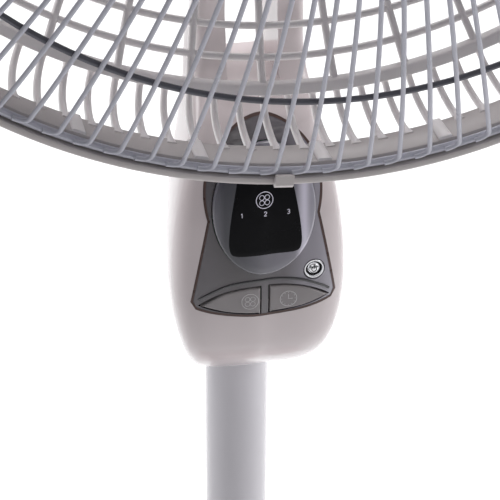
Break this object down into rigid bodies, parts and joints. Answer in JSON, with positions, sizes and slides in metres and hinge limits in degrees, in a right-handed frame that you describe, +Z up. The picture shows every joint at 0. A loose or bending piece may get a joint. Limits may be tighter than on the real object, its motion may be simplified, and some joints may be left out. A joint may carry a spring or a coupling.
{
  "type": "pedestal fan",
  "caption": "Pedestal fan: round base, rising pole with a control column, and a tilting, swinging head with a spoked guard over a wide three-wing blade.",
  "frame": {"origin": "centre of the ring of feet, in the plane that the base rests on, on the pole's axis", "axes": "+Z up the pole, the fan blows towards -Y, +X to the right for someone who faces the controls"},
  "size_m": [0.4378, 0.4192, 1.219],
  "materials": {
    "housing": "warm white gloss",
    "guard_plastic": "warm grey-white satin gloss",
    "guard_wire": "powder-coated pale lavender grey",
    "guard_ring": "powder-coated grey",
    "tube_paint": "gloss white enamel",
    "panel_grey": "dark warm grey gloss",
    "trim_brown": "dark red-brown edge",
    "lens_smoke": "smoked clear plastic",
    "mask_black": "black",
    "chrome": "bright chrome plate",
    "blade_smoke": "smoky grey",
    "rubber": "matt",
    "cast_iron": "rough cast",
    "steel": "plated",
    "cast_alloy": "die cast",
    "copper": "enamelled copper and bronze",
    "nylon": "nylon",
    "board_green": "green solder mask"
  },
  "bodies": {
    "stand": {"base_cover": "housing", "base_weight": "cast_iron", "base_bottom_plate": "steel", "base_screws": "steel", "rubber_feet": "rubber", "cord_gland": "rubber", "pole_socket": "steel", "socket_shroud": "housing", "outer_tube": "tube_paint", "collar_bush": "nylon", "height_collar": "housing"},
    "lock_knob": {"height_lock_knob": "housing"},
    "riser": {"inner_tube": "tube_paint", "tube_sleeve": "nylon", "column_front_shell": "housing", "column_rear_shell": "housing", "control_panel": "panel_grey", "panel_trim": "trim_brown", "display_lens": "lens_smoke", "display_mask": "mask_black", "indicator_leds": "nylon", "circuit_board": "board_green", "tact_switches": "nylon", "power_button_ring": "chrome", "tilt_bolt": "steel", "tilt_nut": "steel"},
    "speed_button": {"speed_button": "panel_grey"},
    "timer_button": {"timer_button": "panel_grey"},
    "power_button": {"power_button": "chrome"},
    "tilt": {"tilt_knuckle": "cast_alloy", "swivel_pin": "steel", "swivel_washer": "nylon", "link_anchor_pin": "steel"},
    "link": {"link_rod": "steel"},
    "head": {"swivel_block": "cast_alloy", "motor_front_bracket": "cast_alloy", "motor_rear_bracket": "cast_alloy", "motor_screws": "steel", "stator_core": "steel", "stator_windings": "copper", "shaft_bushes": "copper", "gearbox_case": "nylon", "gearbox_lid": "nylon", "capacitor": "steel", "motor_cover": "housing", "rear_guard": "guard_plastic", "guard_nut": "guard_plastic", "guard_clips": "guard_plastic", "front_guard_wires": "guard_wire", "front_guard_rings": "guard_ring", "guard_badge": "chrome"},
    "rotor": {"motor_shaft": "steel", "motor_rotor": "cast_alloy", "fan_blade": "blade_smoke", "blade_nut": "blade_smoke"},
    "crank": {"worm_wheel": "nylon", "crank_disc": "nylon"},
    "swing_knob": {"oscillation_knob": "housing"}
  },
  "joints": [
    {"name": "height_slide", "type": "slide", "parent": "stand", "child": "riser", "axis": [0, 0, 1], "range_m": [-0.13, 0.12]},
    {"name": "lock_knob_turn", "type": "hinge", "parent": "stand", "child": "lock_knob", "pos_m": [0.045, 0, 0.426], "axis": [1, 0, 0], "range_deg": [-360, 0]},
    {"name": "speed_press", "type": "slide", "parent": "riser", "child": "speed_button", "axis": [0, 1, 0], "range_m": [0, 0.0012], "stiffness_N_per_m": 1200},
    {"name": "timer_press", "type": "slide", "parent": "riser", "child": "timer_button", "axis": [0, 1, 0], "range_m": [0, 0.0012], "stiffness_N_per_m": 1200},
    {"name": "power_press", "type": "slide", "parent": "riser", "child": "power_button", "axis": [0, 1, 0], "range_m": [0, 0.0012], "stiffness_N_per_m": 1200},
    {"name": "tilt", "type": "hinge", "parent": "riser", "child": "tilt", "pos_m": [0, -0.018, 0.9], "axis": [1, 0, 0], "range_deg": [-20, 15]},
    {"name": "swing", "type": "hinge", "parent": "tilt", "child": "head", "pos_m": [0, -0.018, 0.92], "axis": [0, 0, 1], "range_deg": [-40, 40]},
    {"name": "link_turn", "type": "hinge", "parent": "tilt", "child": "link", "pos_m": [0.02, -0.018, 0.919], "axis": [0, 0, 1], "range_deg": [-40, 40]},
    {"name": "blade_spin", "type": "hinge", "parent": "head", "child": "rotor", "pos_m": [0, -0.1, 1], "axis": [0, 1, 0], "continuous": true},
    {"name": "worm_wheel_turn", "type": "hinge", "parent": "head", "child": "crank", "pos_m": [0.0172, 0.016, 1], "axis": [0, 0, 1], "continuous": true},
    {"name": "swing_knob_pull", "type": "slide", "parent": "head", "child": "swing_knob", "axis": [0, 0, 1], "range_m": [0, 0.008]}
  ],
  "couplings": [
    {"joint": "link_turn", "follows": "swing", "ratio": 1},
    {"joint": "worm_wheel_turn", "follows": "blade_spin", "ratio": 0.033333}
  ]
}
